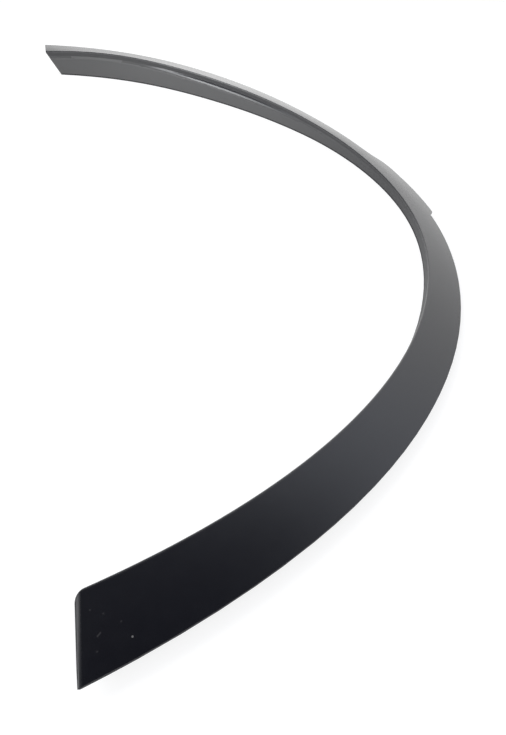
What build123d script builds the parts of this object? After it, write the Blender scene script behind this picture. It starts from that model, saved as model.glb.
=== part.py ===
from build123d import *
import os
from math import cos, degrees, radians, sin, tan

# Wheel arch trim: one moulded plastic strip, lying on the free edge of its lip with the face up.
# Lengths are in millimetres and angles in degrees. Places along the strip ("at") are measured
# along the fold line from the near end.

# Fold line seen from above: three tangent arcs, from the near end to the far end.
near_radius = 477.0
crown_radius = 380.0
far_radius = 233.0
near_length = 427.0
crown_length = 533.0
far_length = 188.0
near_heading = 14.25

# Face: its width at the near end, at the waist past the crown and at the far end, and its fall
# towards the outer edge, which eases off at the far end.
near_face = 32.4
waist_face = 18.4
far_face = 35.7
near_face_at = 96.0
waist_face_at = 681.0
far_face_at = 1037.0
face_fall = 5.0
end_fall = 1.5
level_at = 1050.0
face_bulge = 0.5
wall = 2.6
rim_wall = 1.2

# Lip: its depth at the near end, at the crown and towards the far end, where it droops a little.
near_lip = 13.0
waist_lip = 10.0
far_lip = 32.0
waist_lip_at = 463.0
far_lip_at = 1100.0
end_droop = 3.0
droop_at = 1062.0
lip_wall = 2.2

# Nose of the fold, the bevel that runs back under it and the round shoulder below the bevel. Past
# the crown the lip steps out at the shoulder and stands in front of the fold.
nose_radius = 1.2
nose_set = 0.35
waist_bevel = 3.4
far_bevel = 6.2
bevel_lean = 8.0
shoulder_height = 3.2
shoulder_radius = 5.0
lip_stand = 3.0
stand_start_at = 690.0
stand_full_at = 850.0
stand_fade_at = 920.0
stand_end_at = 1060.0

# Tab on the outer edge: a short leaning step at its near end, a long run-out at its far end.
tab_near_at = 497.0
tab_lean = 8.0
tab_far_at = 644.0
tab_run = 27.0
tab_stand = 5.4
tab_shoulder = 5.0
tab_corner_radius = 7.0
tab_root_radius = 4.0

# Ends: the face is cut upright and askew, the lip is cut back below it.
near_skew = 16.0
far_skew = -12.0
lip_slant = 35.0
near_corner_radius = 7.0
end_radius = 0.7

# Clip seats moulded on the back of the face, open towards the outer edge.
seat_places = [80.0, 310.0, 575.0, 790.0, 1040.0]
seat_length = 22.0
seat_width = 12.0
seat_height = 4.4
seat_wall = 1.6
seat_plate = 1.5
seat_hole_radius = 3.6
seat_neck = 5.6

# Gussets in the corner between the lip and the face.
gusset_places = [150.0, 230.0, 390.0, 470.0, 650.0, 720.0, 860.0, 920.0, 980.0, 1100.0]
gusset_thickness = 1.5
gusset_reach = 9.0
gusset_edge_gap = 1.5

# Working allowances of the blank, trimmed off or buried in a wall.
overrun = 24.0
trim_allowance = 10.0
end_block = 100.0
section_spacing = 63.0
edge_spacing = 45.0
root_overlap = 0.8
cut_margin = 5.0
corner_clearance = 0.15

strip_length = near_length + crown_length + far_length
tab_crest_at = tab_near_at + tab_lean


def ease(start, end, share):
    share = min(max(share, 0.0), 1.0)
    return start + (end - start) * share * share * (3 - 2 * share)


def waisted(at, places, sizes):
    """A size that eases from the near value to the waist value and on to the far value."""
    near_at, waist_at, far_at = places
    near, waist, far = sizes
    if at <= waist_at:
        return ease(near, waist, (at - near_at) / (waist_at - near_at))
    return ease(waist, far, (at - waist_at) / (far_at - waist_at))


def face_width(at):
    return waisted(at, (near_face_at, waist_face_at, far_face_at), (near_face, waist_face, far_face))


def lip_depth(at):
    depth = waisted(at, (0.0, waist_lip_at, far_lip_at), (near_lip, waist_lip, far_lip))
    return depth - ease(0.0, end_droop, (at - droop_at) / (strip_length - droop_at))


def lip_proud(at):
    """How far the lip below the shoulder stands in front of the fold."""
    rise = ease(0.0, lip_stand, (at - stand_start_at) / (stand_full_at - stand_start_at))
    return ease(rise, 0.0, (at - stand_fade_at) / (stand_end_at - stand_fade_at))


def face_drop(at, across):
    """Depth of the flat of the face below the fold."""
    slope = tan(radians(ease(face_fall, end_fall, (at - level_at) / (strip_length - level_at))))
    return slope * across


def back_drop(at, across):
    """Depth of the back of the face below the fold; the face thins towards its outer edge."""
    taper = (wall - rim_wall) / (face_width(at) - lip_wall)
    return wall + face_drop(at, across) - taper * (across - lip_wall)


def bevel_depth(at):
    return waisted(at, (0.0, waist_lip_at, far_lip_at), (waist_bevel, waist_bevel, far_bevel))


def tab_reach(at):
    """How far the tab stands out from the outer edge of the face."""
    run_start = tab_far_at - tab_run
    if at >= run_start:
        return ease(tab_shoulder, 0.0, (at - run_start) / tab_run)
    share = (at - tab_crest_at) / (run_start - tab_crest_at)
    return tab_stand + (tab_shoulder - tab_stand) * share


with BuildLine() as fold:
    start_heading = radians(near_heading) - overrun / near_radius
    near_start = (cos(start_heading), sin(start_heading))
    near_turn = degrees((near_length + overrun) / near_radius)
    near_arc = JernArc((0, 0), near_start, near_radius, near_turn)
    crown_arc = JernArc(near_arc @ 1, near_arc % 1, crown_radius, degrees(crown_length / crown_radius))
    far_turn = degrees((far_length + overrun) / far_radius)
    far_arc = JernArc(crown_arc @ 1, crown_arc % 1, far_radius, far_turn)
fold_line = fold.wires()[0]


def along(at):
    """Unit vector along the fold line, towards the far end."""
    return fold_line.tangent_at(at + overrun, position_mode=PositionMode.LENGTH)


def outward(at):
    return along(at).cross(Vector(0, 0, 1))


def fold_point(at):
    return fold_line.position_at(at + overrun, position_mode=PositionMode.LENGTH)


def outer_point(at, extra=0.0):
    return fold_point(at) + outward(at) * (face_width(at) + extra)


def section_plane(at):
    """Plane across the strip: X outward, Y up, origin on the corner of the fold."""
    corner = fold_point(at) - outward(at) * nose_set + Vector(0, 0, lip_depth(at))
    return Plane(origin=corner, x_dir=outward(at), z_dir=-along(at))


def back_plane(at):
    """Plane in the back of the face, at the middle of its width: X along the strip, Z down."""
    half = face_width(at) / 2
    middle = fold_point(at) + outward(at) * half
    middle += Vector(0, 0, lip_depth(at) - back_drop(at, half))
    slope = back_drop(at, half + 1) - back_drop(at, half)
    down = (outward(at) * slope + Vector(0, 0, 1)) * -1
    return Plane(origin=middle, x_dir=along(at), z_dir=down)


def end_plane(at, way, skew, slant, drop):
    """Cutting plane at an end; its normal points along way, into the strip."""
    inward = along(at) * way
    level = inward * cos(radians(skew)) + outward(at) * sin(radians(skew))
    normal = level * cos(radians(slant)) + Vector(0, 0, 1) * sin(radians(slant))
    return Plane(origin=fold_point(at) + Vector(0, 0, lip_depth(at) - drop), z_dir=normal)


def spread(start, end, spacing):
    """Evenly spaced places from start to end."""
    steps = max(2, round((end - start) / spacing))
    return [start + (end - start) * step / steps for step in range(steps + 1)]


with BuildPart() as moulding:
    # Blank: sections across the strip, lofted from end to end and wider than the finished face.
    blank_places = spread(-overrun, strip_length + overrun, section_spacing)
    for at in blank_places:
        blank_width = face_width(at) + trim_allowance
        depth = lip_depth(at) + trim_allowance
        bevel = bevel_depth(at)
        bevel_set = bevel * tan(radians(bevel_lean))
        shoulder_drop = bevel + shoulder_height
        inner_set = bevel_set + lip_wall
        proud = lip_proud(at)
        with BuildSketch(section_plane(at)) as section:
            with BuildLine():
                ThreePointArc(
                    (blank_width, -face_drop(at, blank_width)),
                    (blank_width / 2, face_bulge - face_drop(at, blank_width / 2)),
                    (0, 0),
                )
                Polyline(
                    (0, 0),
                    (bevel_set, -bevel),
                    (-proud, -shoulder_drop),
                    (-proud, -depth),
                    (lip_wall - proud, -depth),
                    (lip_wall - proud, -shoulder_drop - lip_wall / 2),
                    (inner_set, -bevel - lip_wall / 2),
                    (inner_set, -back_drop(at, inner_set)),
                    (blank_width, -back_drop(at, blank_width)),
                    (blank_width, -face_drop(at, blank_width)),
                )
            make_face()
            fillet(section.vertices().sort_by_distance((0, 0))[0], nose_radius)
            fillet(section.vertices().sort_by_distance((-proud, -shoulder_drop))[0], shoulder_radius)
    loft()

    # Free edge of the lip: trimmed flat, so that the strip lies on it.
    split(bisect_by=Plane.XY, keep=Keep.TOP)

    # Outer edge: the blank is trimmed to the face's width, with the tab left standing.
    with BuildSketch(Plane.XY.offset(-cut_margin)) as waste:
        with BuildLine():
            near_edge = Spline(*[outer_point(at) for at in spread(-overrun, tab_near_at, edge_spacing)])
            tab_step = Line(near_edge @ 1, outer_point(tab_crest_at, tab_stand))
            tab_places = spread(tab_crest_at, tab_far_at - tab_run, tab_run)
            run_places = spread(tab_far_at - tab_run, tab_far_at, tab_run / 3)
            far_places = spread(tab_far_at, strip_length + overrun, edge_spacing)
            far_edge_places = tab_places + run_places[1:] + far_places[1:]
            far_edge = Spline(*[outer_point(at, tab_reach(at)) for at in far_edge_places])
            rim_points = [outer_point(at, 2 * trim_allowance) for at in blank_places]
            rim_points.reverse()
            Line(far_edge @ 1, rim_points[0])
            rim = Spline(*rim_points)
            Line(rim @ 1, near_edge @ 0)
        make_face()
        fillet(waste.vertices().sort_by_distance(tab_step @ 1)[0], tab_corner_radius)
        fillet(waste.vertices().sort_by_distance(tab_step @ 0)[0], tab_root_radius)
    extrude(amount=far_lip + 2 * cut_margin, mode=Mode.SUBTRACT)

    # Ends: a block is cut away past each end of the face and a slanted one past the lip.
    for at, way, skew in ((0.0, 1, near_skew), (strip_length, -1, far_skew)):
        with BuildSketch(end_plane(at, way, skew, 0.0, 0.0)):
            Rectangle(end_block, end_block)
        with BuildSketch(end_plane(at, way, skew, lip_slant, wall)):
            Rectangle(end_block, end_block)
    extrude(amount=-2 * overrun, mode=Mode.SUBTRACT)

    # Rounded inner corner of the near end.
    end_line = outward(0.0) * cos(radians(near_skew)) - along(0.0) * sin(radians(near_skew))
    bisector = (along(0.0) + end_line).normalized()
    half_corner = radians((90 + near_skew) / 2)
    corner = fold_point(0.0) - outward(0.0) * corner_clearance
    corner_run = near_corner_radius / tan(half_corner)
    corner_crest = corner + bisector * near_corner_radius * (1 / sin(half_corner) - 1)
    with BuildSketch(Plane.XY.offset(-cut_margin)):
        with BuildLine():
            corner_arc = ThreePointArc(
                corner + along(0.0) * corner_run,
                corner_crest,
                corner + end_line * corner_run,
            )
            Polyline(corner_arc @ 1, corner - bisector * cut_margin, corner_arc @ 0)
        make_face()
    extrude(amount=far_lip + 2 * cut_margin, mode=Mode.SUBTRACT)

    # Rounded edge across the near end of the face.
    end_middle = fold_point(0.0) + end_line * near_face / 2 + Vector(0, 0, near_lip)
    fillet(moulding.edges().sort_by_distance(end_middle)[0], end_radius)

    # Clip seats on the back: a bridge with a tunnel for the clip's head and a keyhole in its plate.
    for at in seat_places:
        with BuildSketch(back_plane(at).offset(-root_overlap)):
            Rectangle(seat_length, seat_width)
    extrude(amount=seat_height + root_overlap)
    for at in seat_places:
        with BuildSketch(back_plane(at)):
            with Locations((0, seat_wall)):
                Rectangle(seat_length - 2 * seat_wall, seat_width)
    extrude(amount=seat_height - seat_plate, mode=Mode.SUBTRACT)
    for at in seat_places:
        with BuildSketch(back_plane(at).offset(seat_height - seat_plate)):
            Circle(seat_hole_radius)
            with Locations((0, seat_width / 2)):
                Rectangle(seat_neck, seat_width)
    extrude(amount=seat_plate + root_overlap, mode=Mode.SUBTRACT)

    # Gussets between the lip and the face.
    for at in gusset_places:
        bevel = bevel_depth(at)
        lip_root = lip_wall - lip_proud(at) - root_overlap
        inner_set = bevel * tan(radians(bevel_lean)) + lip_wall
        face_root = inner_set - root_overlap
        with BuildSketch(section_plane(at)):
            with BuildLine():
                Polyline(
                    (lip_root, gusset_edge_gap - lip_depth(at)),
                    (lip_root, -bevel - shoulder_height - root_overlap),
                    (face_root, -bevel - root_overlap),
                    (face_root, root_overlap - back_drop(at, inner_set)),
                    (gusset_reach, root_overlap - back_drop(at, gusset_reach)),
                    close=True,
                )
            make_face()
    extrude(amount=gusset_thickness / 2, both=True)

box = moulding.part.bounding_box()
os.makedirs("parts", exist_ok=True)
with BuildPart() as arch_trim:
    add(moulding.part.moved(Location((-box.center().X, -box.center().Y, -box.min.Z))))

arch_trim.part.label = "arch_trim"
export_step(arch_trim.part, "parts/arch_trim.step")
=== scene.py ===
from math import radians

import bpy
from mathutils import Matrix, Vector

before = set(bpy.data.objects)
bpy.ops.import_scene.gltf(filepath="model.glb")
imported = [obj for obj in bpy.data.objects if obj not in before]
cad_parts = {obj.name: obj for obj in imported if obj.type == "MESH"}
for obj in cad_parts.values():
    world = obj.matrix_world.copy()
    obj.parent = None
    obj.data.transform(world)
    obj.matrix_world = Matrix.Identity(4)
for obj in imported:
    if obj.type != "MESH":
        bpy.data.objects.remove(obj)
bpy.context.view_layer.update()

# Lengths are in metres, unless a comment says otherwise.

# Photograph's frame height in pixels, its camera's focal length in the same pixels, and the
# height of the camera's sensor in millimetres.
photo_height = 735
focal_pixels = 540.0
sensor_height = 24.0

# Camera: where it stands, its turn, tilt and roll in degrees, and how near a thing it still shows.
camera_place = Vector((-0.17924, -0.4968, 0.2181))
camera_turn = 23.853
camera_tilt = 40.023
camera_roll = 10.819
camera_nearest = 0.01

# Axle of the wheel that the arch stands over; the lip's wall looks towards it.
axle_place = Vector((-0.2, 0.0, 0.0))

# Near end of the face: its inner corner, the way into the strip, the way along the end, and the
# end's width.
near_end_place = Vector((-0.1872, -0.38951, 0.013))
near_end_way = Vector((0.9995, -0.0305, 0.0))
near_end_line = Vector((-0.0305, -0.9995, 0.0))
near_end_width = 0.0324

# Rolled-over edge of the near end: how far it reaches in and how much it tilts the surface, each
# at the inner corner and at the outer one, how far from the inner corner it goes on, and how it
# fades out there and across its reach.
roll_reach = 0.0026
roll_reach_outer = 0.0020
roll_tilt = 0.46
roll_tilt_outer = 0.1
roll_limit = 0.06
roll_limit_span = (0.9, 1.0)
roll_span = (0.0, 1.0)

# Marks on the near end of the face: one bright speck, some faint ones and a scratch. A share is
# how much of the dust's colour a mark takes on; the span is where in its radius a mark fades out.
bright_speck_place = Vector((-0.16811, -0.41037, 0.01128))
bright_speck_radius = 0.0005
bright_speck_share = 0.42
faint_speck_places = (
    Vector((-0.18205, -0.39778, 0.01253)),
    Vector((-0.17742, -0.40008, 0.01231)),
    Vector((-0.17146, -0.40425, 0.01188)),
    Vector((-0.18076, -0.41273, 0.01138)),
    Vector((-0.09877, -0.36478, 0.01238)),
)
faint_speck_radius = 0.0006
faint_speck_share = 0.03
scratch_start = Vector((-0.18014, -0.40762, 0.01181))
scratch_end = Vector((-0.17911, -0.40663, 0.01186))
scratch_radius = 0.0005
scratch_share = 0.045
spot_span = (0.4, 1.0)

# Dust grit all over: its cells to the metre, a grain's core and rim as parts of its cell, how
# likely a cell is to hold one, and how much of the dust's colour it takes on.
grit_scale = 120.0
grit_size_span = (0.02, 0.045)
grit_chance_span = (0.6, 0.75)
grit_share = 0.012

# Colours of the plastic, of the painted light that greys the lip's wall, of its worn edges
# and of dust.
face_black = (0.0032, 0.0034, 0.0062, 1.0)
face_dull = (0.0048, 0.0050, 0.0080, 1.0)
lip_painted_light_grey = (0.0820, 0.0822, 0.0830, 1.0)
worn_grey = (0.0300, 0.0300, 0.0305, 1.0)
dust_grey = (0.4500, 0.4450, 0.4350, 1.0)

# Places on the strip are told by the way the surface looks: by the square of its upward part, by
# how far it looks towards the axle or away from it, and by how far it looks down, where painted
# shade falls beneath the shoulder.
upright_span = (0.25, 0.75)
plumb_span = (0.01, 0.09)
inner_span = (0.1, 0.3)
outer_span = (0.15, 0.5)
rim_span = (0.05, 0.2)
shade_beneath_span = (0.03, 0.11)

# Painted light on the lip's wall, which greys it: its share at the crown, how far along the strip's
# chord from there it comes to its full share, and how much of it is taken back as painted shade
# where the wall looks down beneath the shoulder.
crown_lip_light_share = 0.46
full_lip_light_place = 0.24
shade_beneath_loss = 0.5

# Painted contact shade along the lip's foot, where it rests on the floor: its height, and where
# in that height it fades out.
foot_height = 0.002
foot_span = (0.4, 1.0)

# Wear at sharp edges: how wide an edge is taken, how sharp it has to be, how patchy the wear is,
# and how much of the worn colour it takes on.
edge_radius = 0.0006
edge_samples = 8
sharp_span = (0.02, 0.3)
wear_shades = ((0.35, 0.2), (0.65, 1.0))
worn_share = 0.35

# Cloudy colour, patches of wear and moulded grain: how often they come round in a metre, how
# broken up they are, where the cloud turns from one black to the other, and the strength and height
# of the grain as bump.
cloud_scale = 22.0
cloud_detail = 3.0
cloud_span = (0.3, 0.7)
patch_scale = 160.0
patch_detail = 3.0
grain_scale = 2600.0
grain_breakup = 0.6
grain_strength = 0.35
grain_height = 0.00004

# Gloss of the plastic, roughness of the plain face, and what each place or finish adds to it.
plastic_gloss = 0.62
face_roughness = 0.2
lip_roughness = 0.36
patch_roughness = 0.05
grain_roughness = 0.04
wear_roughness = 0.08
roll_roughness = 0.22
foot_roughness = 0.3
outer_roughness = 0.55

# Floor: half its side, how far it lies below the strip's foot, its grey for the light that falls
# on it, and the grey and the glow with which it is seen.
floor_half_side = 30.0
floor_drop = 0.0003
floor_grey = (0.8, 0.8, 0.8, 1.0)
floor_seen_grey = (0.3, 0.3, 0.3, 1.0)
floor_glow_white = (1.0, 1.0, 1.0, 1.0)
floor_glow_strength = 0.8

# Studio walls: their shade by height, from the floor at 0 to straight overhead at 1, then by how
# far a way leans to the right, and by how far it leans away from the camera's side. Overhead they
# are slightly cool.
wall_shades = (
    (0.0, 0.53),
    (0.05, 0.57),
    (0.1, 0.61),
    (0.14, 0.83),
    (0.19, 0.95),
    (0.225, 0.81),
    (0.278, 0.58),
    (0.33, 0.42),
    (0.41, 0.385),
    (0.56, 0.425),
    (0.66, 0.46),
    (0.72, 0.46),
    (0.766, 0.37),
    (0.809, 0.18),
    (0.848, 0.088),
    (0.899, 0.038),
    (0.95, 0.02),
    (1.0, 0.004),
)
side_shades = ((0.42, 0.36), (0.53, 0.74), (0.62, 1.0))
behind_shades = ((0.1, 0.4), (0.4, 1.0))
wall_white = (1.0, 1.0, 1.0, 1.0)
overhead_white = (0.95, 0.99, 1.08, 1.0)
overhead_span = (0.5, 0.65)
studio_strength = 2.76

# Low window behind the camera: the way to it, its edge, its top and its strength.
window_way = Vector((-0.5, -0.866, 0.0))
window_span = (0.7, 0.9)
window_top_span = (0.2, 0.32)
window_strength = 1.5

# Key light, a soft round glow to the left of the strip: the way to its middle, its edge and its
# strength.
key_way = Vector((-0.656, -0.188, 0.731))
key_span = (0.9, 0.96)
key_strength = 0.7

# Soft box near the middle of the key light: where it hangs, what it is aimed at, its sides and
# its watts.
key_lamp_place = Vector((-1.087, -0.039, 1.26))
key_lamp_aim = Vector((0.0, 0.1, 0.0))
key_lamp_width = 0.5
key_lamp_height = 1.02
key_lamp_watts = 9.6


class Value:
    """A value in a node tree; an expression on values adds its Math nodes."""

    def __init__(self, nodes, socket):
        self.nodes = nodes
        self.socket = socket

    def math(self, operation, *values):
        settings = {"operation": operation}
        return self.nodes.value("ShaderNodeMath", 0, settings, dict(enumerate(values)))

    def __add__(self, other):
        return self.math("ADD", self, other)

    def __radd__(self, other):
        return self.math("ADD", other, self)

    def __sub__(self, other):
        return self.math("SUBTRACT", self, other)

    def __rsub__(self, other):
        return self.math("SUBTRACT", other, self)

    def __mul__(self, other):
        return self.math("MULTIPLY", self, other)

    def __rmul__(self, other):
        return self.math("MULTIPLY", other, self)

    def __truediv__(self, other):
        return self.math("DIVIDE", self, other)

    def __rtruediv__(self, other):
        return self.math("DIVIDE", other, self)


class Nodes:
    """The nodes of one material or of the world."""

    def __init__(self, tree):
        self.tree = tree
        tree.nodes.clear()

    def node(self, kind, settings=None, sockets=None):
        """Adds a node: its settings first, then the values or links of its sockets."""
        node = self.tree.nodes.new(kind)
        for name, setting in (settings or {}).items():
            if name == "stops":
                self.set_stops(node.color_ramp, setting)
            else:
                setattr(node, name, setting)
        shown = [socket for socket in node.inputs if socket.enabled]
        named = {}
        for socket in shown:
            named.setdefault(socket.name, socket)
        for name, given in (sockets or {}).items():
            socket = shown[name] if isinstance(name, int) else named[name]
            if isinstance(given, Value):
                self.tree.links.new(given.socket, socket)
            else:
                socket.default_value = given
        return node

    def value(self, kind, output, settings=None, sockets=None):
        """Adds a node and gives one of its outputs, by name or by place."""
        node = self.node(kind, settings, sockets)
        shown = [socket for socket in node.outputs if socket.enabled]
        if isinstance(output, int):
            return Value(self, shown[output])
        return Value(self, next(socket for socket in shown if socket.name == output))

    def set_stops(self, ramp, stops):
        """Gives a ramp its stops, each a place and a shade of grey."""
        while len(ramp.elements) < len(stops):
            ramp.elements.new(1.0)
        for element, (place, shade) in zip(ramp.elements, stops):
            element.position = place
            element.color = (shade, shade, shade, 1.0)

    def ramp(self, factor, stops):
        """A grey value that follows the factor through the stops."""
        return self.value("ShaderNodeValToRGB", "Color", {"stops": stops}, {"Fac": factor})

    def rising(self, factor, span):
        """A mask that goes from 0 to 1 while the factor goes through the span."""
        start, end = span
        return self.ramp(factor, ((start, 0.0), (end, 1.0)))

    def falling(self, factor, span):
        """A mask that goes from 1 to 0 while the factor goes through the span."""
        start, end = span
        return self.ramp(factor, ((start, 1.0), (end, 0.0)))

    def blend(self, mask, low, high):
        """A colour between two colours."""
        sockets = {"Factor": mask, "A": low, "B": high}
        return self.value("ShaderNodeMix", "Result", {"data_type": "RGBA"}, sockets)

    def noise(self, place, scale, detail=2.0, roughness=0.5):
        """Cloudy noise, with so many clouds to the metre."""
        sockets = {"Vector": place, "Scale": scale, "Detail": detail, "Roughness": roughness}
        return self.value("ShaderNodeTexNoise", "Fac", None, sockets)

    def vector(self, operation, *values):
        """The one output of a Vector Math node."""
        settings = {"operation": operation}
        return self.value("ShaderNodeVectorMath", 0, settings, dict(enumerate(values)))

    def part(self, vector, axis):
        """One part of a vector."""
        return self.value("ShaderNodeSeparateXYZ", axis, None, {"Vector": vector})

    def lean(self, way, axis):
        """How far a way leans along an axis, from 0 right against it to 1 right along it."""
        return self.part(way, axis) * 0.5 + 0.5

    def spot(self, place, centre, radius):
        """A mask that is 1 on a small round spot."""
        return self.falling(self.vector("DISTANCE", place, centre) / radius, spot_span)


def new_material(name):
    """A new material, with no nodes yet."""
    material = bpy.data.materials.new(name)
    material.use_nodes = True
    return material, Nodes(material.node_tree)


def make_marks(nodes, place):
    """Mask of the specks and the scratch on the near end, and of dust grit all over."""
    marks = bright_speck_share * nodes.spot(place, bright_speck_place, bright_speck_radius)
    for speck_place in faint_speck_places:
        marks = marks + faint_speck_share * nodes.spot(place, speck_place, faint_speck_radius)
    run = scratch_end - scratch_start
    from_start = nodes.vector("SUBTRACT", place, scratch_start)
    share = nodes.vector("DOT_PRODUCT", from_start, run) / run.length_squared
    held = nodes.value("ShaderNodeClamp", 0, None, {"Value": share})
    nearest = nodes.vector("ADD", nodes.vector("SCALE", run, held), scratch_start)
    marks = marks + scratch_share * nodes.spot(place, nearest, scratch_radius)
    cells = nodes.node("ShaderNodeTexVoronoi", None, {"Vector": place, "Scale": grit_scale})
    chance = nodes.part(Value(nodes, cells.outputs["Color"]), "X")
    grit = nodes.falling(Value(nodes, cells.outputs["Distance"]), grit_size_span)
    return marks + grit_share * grit * nodes.rising(chance, grit_chance_span)


def make_roll(nodes, place, facing):
    """Mask of the rolled-over edge of the near end, and the surface direction with that edge."""
    from_corner = nodes.vector("SUBTRACT", place, near_end_place)
    depth = nodes.vector("DOT_PRODUCT", from_corner, near_end_way)
    share = nodes.vector("DOT_PRODUCT", from_corner, near_end_line) / near_end_width
    close = nodes.falling(nodes.vector("LENGTH", from_corner) / roll_limit, roll_limit_span)
    reach = roll_reach + (roll_reach_outer - roll_reach) * share
    rolled = close * nodes.falling(depth / reach, roll_span)
    steepness = roll_tilt + (roll_tilt_outer - roll_tilt) * share
    tilt = nodes.vector("SCALE", -near_end_way, steepness * rolled)
    return rolled, nodes.vector("NORMALIZE", nodes.vector("ADD", facing, tilt))


def make_trim_plastic():
    """Black moulded plastic: satin on the face, more matt on the lip, its wall made grey by painted
    light, with painted shade beneath the shoulder and at the foot.
    """
    material, nodes = new_material("trim_plastic")
    place = nodes.value("ShaderNodeTexCoord", "Object")
    facing = nodes.value("ShaderNodeNewGeometry", "Normal")

    # Places on the strip.
    rise = nodes.part(facing, "Z")
    upright = nodes.falling(rise * rise, upright_span)
    plumb = nodes.falling(rise * rise, plumb_span)
    # Painted shade where the wall looks down, beneath the shoulder.
    shade_beneath = nodes.rising(0 - rise, shade_beneath_span)
    to_axle = nodes.vector("NORMALIZE", nodes.vector("SUBTRACT", axle_place, place))
    inward = nodes.vector("DOT_PRODUCT", to_axle, facing)
    inner = nodes.rising(inward, inner_span)
    outer = nodes.rising(0 - inward, outer_span)
    # Painted light on the lip's wall: less of it at the crown, all of it towards the far end.
    lip_light_shades = ((0.0, crown_lip_light_share), (1.0, 1.0))
    along = nodes.ramp(nodes.part(place, "Y") / full_lip_light_place, lip_light_shades)
    # Painted contact shade along the lip's foot, which is also made rougher.
    foot = nodes.falling(nodes.part(place, "Z") / foot_height, foot_span)

    # Edges look rounded, except along the outer rim, and the near end's edge looks rolled over.
    edge_sockets = {"Radius": edge_radius}
    edge = nodes.value("ShaderNodeBevel", "Normal", {"samples": edge_samples}, edge_sockets)
    outward = nodes.rising(0 - nodes.vector("DOT_PRODUCT", to_axle, edge), rim_span)
    rounded = nodes.vector("SCALE", edge, 1 - outward)
    unrounded = nodes.vector("SCALE", facing, outward)
    rolled, direction = make_roll(nodes, place, nodes.vector("ADD", rounded, unrounded))

    # Finish of the surface, with painted light on the lip's wall, and painted shade beneath its
    # shoulder and along its foot.
    cloud = nodes.noise(place, cloud_scale, detail=cloud_detail)
    grain = nodes.noise(place, grain_scale, roughness=grain_breakup)
    patches = nodes.noise(place, patch_scale, detail=patch_detail)
    sharp = nodes.rising(1 - nodes.vector("DOT_PRODUCT", edge, facing), sharp_span)
    wear = sharp * nodes.ramp(patches, wear_shades)
    marks = make_marks(nodes, place)

    face = nodes.blend(nodes.rising(cloud, cloud_span), face_black, face_dull)
    # Painted light greys the lip's wall, taken back by painted shade where the wall looks down.
    with_painted_light = nodes.blend(upright * inner * along * (1 - shade_beneath_loss * shade_beneath), face, lip_painted_light_grey)
    worn = nodes.blend(worn_share * wear, with_painted_light, worn_grey)
    # Painted contact shade darkens the foot to the face's black.
    foot_shaded = nodes.blend(foot, worn, face_black)
    colour = nodes.blend(marks, foot_shaded, dust_grey)
    rough = (
        face_roughness
        + lip_roughness * plumb * inner
        + patch_roughness * patches
        + grain_roughness * grain
        + wear_roughness * wear
        + roll_roughness * rolled
        + foot_roughness * foot
        + outer_roughness * outer
    )
    bump = nodes.value(
        "ShaderNodeBump",
        "Normal",
        None,
        {
            "Strength": grain_strength,
            "Distance": grain_height,
            "Height": grain,
            "Normal": direction,
        },
    )
    plastic = nodes.value(
        "ShaderNodeBsdfPrincipled",
        "BSDF",
        None,
        {
            "Base Color": colour,
            "Roughness": rough,
            "Specular IOR Level": plastic_gloss,
            "Normal": bump,
        },
    )
    nodes.node("ShaderNodeOutputMaterial", None, {"Surface": plastic})
    return material


def make_floor_white():
    """White floor: bright where it is seen or mirrored, still taking the strip's shadow."""
    material, nodes = new_material("floor_white")
    rays = nodes.node("ShaderNodeLightPath")
    seen = (
        Value(nodes, rays.outputs["Is Camera Ray"])
        + Value(nodes, rays.outputs["Is Glossy Ray"])
        + Value(nodes, rays.outputs["Is Transmission Ray"])
    )
    seen_once = seen.math("MINIMUM", seen, 1.0)
    glow_sockets = {"Color": floor_glow_white, "Strength": floor_glow_strength}
    glow = nodes.value("ShaderNodeEmission", "Emission", None, glow_sockets)
    paint = nodes.value("ShaderNodeBsdfDiffuse", "BSDF", None, {"Color": floor_seen_grey})
    seen_floor = nodes.value("ShaderNodeAddShader", 0, None, {0: glow, 1: paint})
    plain_floor = nodes.value("ShaderNodeBsdfDiffuse", "BSDF", None, {"Color": floor_grey})
    floor_sockets = {0: seen_once, 1: plain_floor, 2: seen_floor}
    floor = nodes.value("ShaderNodeMixShader", 0, None, floor_sockets)
    nodes.node("ShaderNodeOutputMaterial", None, {"Surface": floor})
    return material


def make_floor():
    """Wide floor, a hair below the strip's foot so that the two don't lie in one plane."""
    corners = ((-1, -1), (1, -1), (1, 1), (-1, 1))
    points = [(x * floor_half_side, y * floor_half_side, -floor_drop) for x, y in corners]
    mesh = bpy.data.meshes.new("floor")
    mesh.from_pydata(points, [], [(0, 1, 2, 3)])
    floor = bpy.data.objects.new("floor", mesh)
    bpy.context.scene.collection.objects.link(floor)
    mesh.materials.append(make_floor_white())


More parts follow.
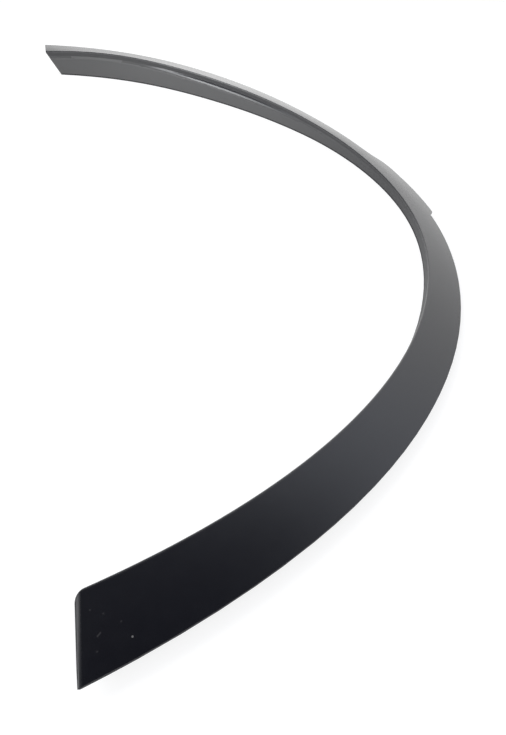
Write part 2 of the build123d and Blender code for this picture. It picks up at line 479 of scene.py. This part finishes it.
def make_world():
    """Soft studio light: bright low down, dim overhead, to the left and on the camera's side.

    A low window stands behind the camera, and a soft round key light to the left.
    """
    world = bpy.data.worlds.new("studio")
    bpy.context.scene.world = world
    world.use_nodes = True
    nodes = Nodes(world.node_tree)
    way = nodes.value("ShaderNodeTexCoord", "Generated")
    height = nodes.part(way, "Z")
    walls = nodes.ramp(height, wall_shades)
    side = nodes.ramp(nodes.lean(way, "X"), side_shades)
    behind = nodes.ramp(nodes.lean(way, "Y"), behind_shades)
    window = nodes.rising(nodes.vector("DOT_PRODUCT", way, window_way), window_span)
    low = nodes.falling(height, window_top_span)
    key = nodes.rising(nodes.vector("DOT_PRODUCT", way, key_way), key_span)
    shade = walls * side * behind + window_strength * window * low + key_strength * key
    tint = nodes.blend(nodes.rising(height, overhead_span), wall_white, overhead_white)
    sockets = {"Color": nodes.vector("SCALE", tint, shade), "Strength": studio_strength}
    light = nodes.value("ShaderNodeBackground", 0, None, sockets)
    nodes.node("ShaderNodeOutputWorld", None, {"Surface": light})


def make_key_lamp():
    """Soft box to the left, which lights the lip and draws a line along its shoulder."""
    data = bpy.data.lights.new("key_lamp", "AREA")
    data.shape = "RECTANGLE"
    data.size = key_lamp_width
    data.size_y = key_lamp_height
    data.energy = key_lamp_watts
    lamp = bpy.data.objects.new("key_lamp", data)
    lamp.location = key_lamp_place
    aim = key_lamp_aim - key_lamp_place
    lamp.rotation_euler = aim.to_track_quat("-Z", "Y").to_euler()
    bpy.context.scene.collection.objects.link(lamp)


def make_camera():
    """Camera at the photograph's viewing angle."""
    data = bpy.data.cameras.new("camera")
    data.sensor_fit = "VERTICAL"
    data.sensor_height = sensor_height
    data.lens = focal_pixels / photo_height * sensor_height
    data.clip_start = camera_nearest
    camera = bpy.data.objects.new("camera", data)
    turn = Matrix.Rotation(radians(-camera_turn), 4, "Z")
    tilt = Matrix.Rotation(radians(90 - camera_tilt), 4, "X")
    roll = Matrix.Rotation(radians(camera_roll), 4, "Z")
    camera.matrix_world = Matrix.Translation(camera_place) @ turn @ tilt @ roll
    bpy.context.scene.collection.objects.link(camera)
    bpy.context.scene.camera = camera


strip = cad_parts["arch_trim"]
strip.data.materials.clear()
strip.data.materials.append(make_trim_plastic())

make_floor()
make_world()
make_key_lamp()
make_camera()
bpy.context.scene.view_settings.view_transform = "Standard"
